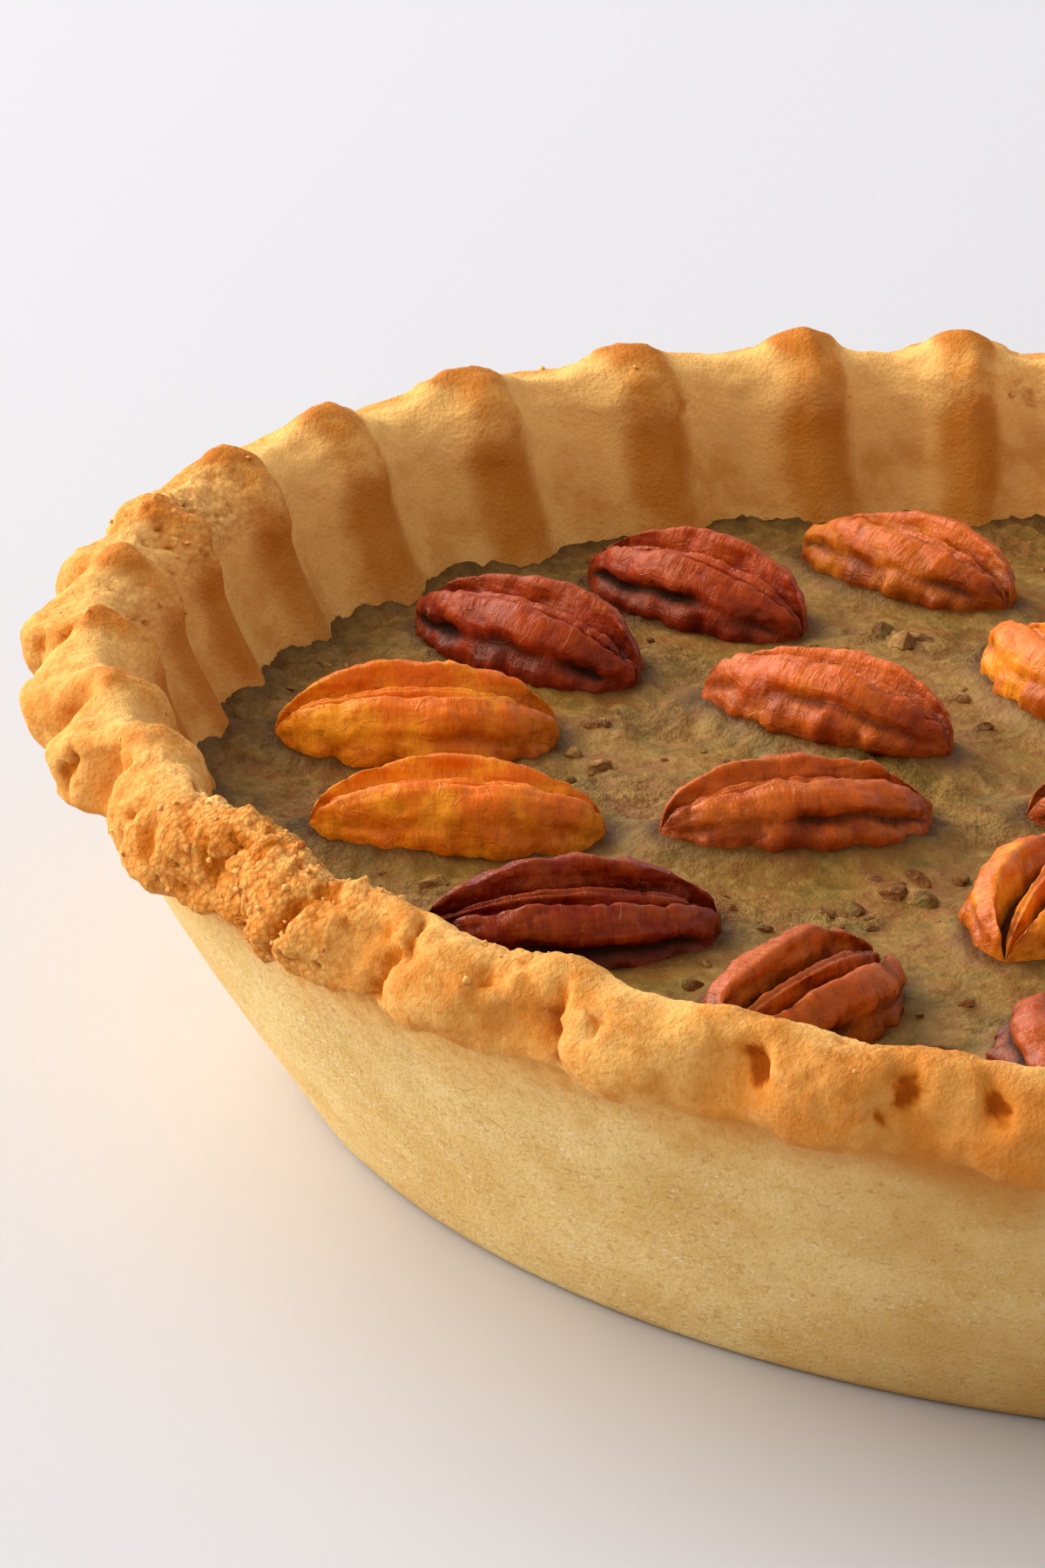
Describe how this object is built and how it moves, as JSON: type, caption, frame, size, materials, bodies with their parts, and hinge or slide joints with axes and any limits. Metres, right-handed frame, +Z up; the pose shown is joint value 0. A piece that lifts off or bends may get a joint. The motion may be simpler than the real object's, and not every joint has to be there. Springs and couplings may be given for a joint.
{
  "type": "pecan pie",
  "caption": "Whole baked pecan pie out of its pan: smooth flared shortcrust shell with a hand-pinched rim, set custard filling and rings of pecan halves on top.",
  "frame": {"origin": "middle of the flat base, where the pie stands, on the shell's axis", "axes": "+Z up along the shell's axis; the base lies in the XY plane"},
  "size_m": [0.2367, 0.2346, 0.0475],
  "materials": {
    "crust": "dry sandy baked shortcrust, cream on the wall and golden brown on the rim",
    "filling": "set egg custard with chopped nuts, soft sheen, khaki brown",
    "pecan": "thin satin nut skin, from caramel orange to deep mahogany"
  },
  "bodies": {
    "root": {"crust": "crust", "filling": "filling", "pecan_01": "pecan", "pecan_02": "pecan", "pecan_03": "pecan", "pecan_04": "pecan", "pecan_05": "pecan", "pecan_06": "pecan", "pecan_07": "pecan", "pecan_08": "pecan", "pecan_09": "pecan", "pecan_10": "pecan", "pecan_11": "pecan", "pecan_12": "pecan", "pecan_13": "pecan", "pecan_14": "pecan", "pecan_15": "pecan", "pecan_16": "pecan", "pecan_17": "pecan", "pecan_18": "pecan", "pecan_19": "pecan", "pecan_20": "pecan", "pecan_21": "pecan", "pecan_22": "pecan", "pecan_23": "pecan", "pecan_24": "pecan", "pecan_25": "pecan", "pecan_26": "pecan"}
  },
  "joints": []
}
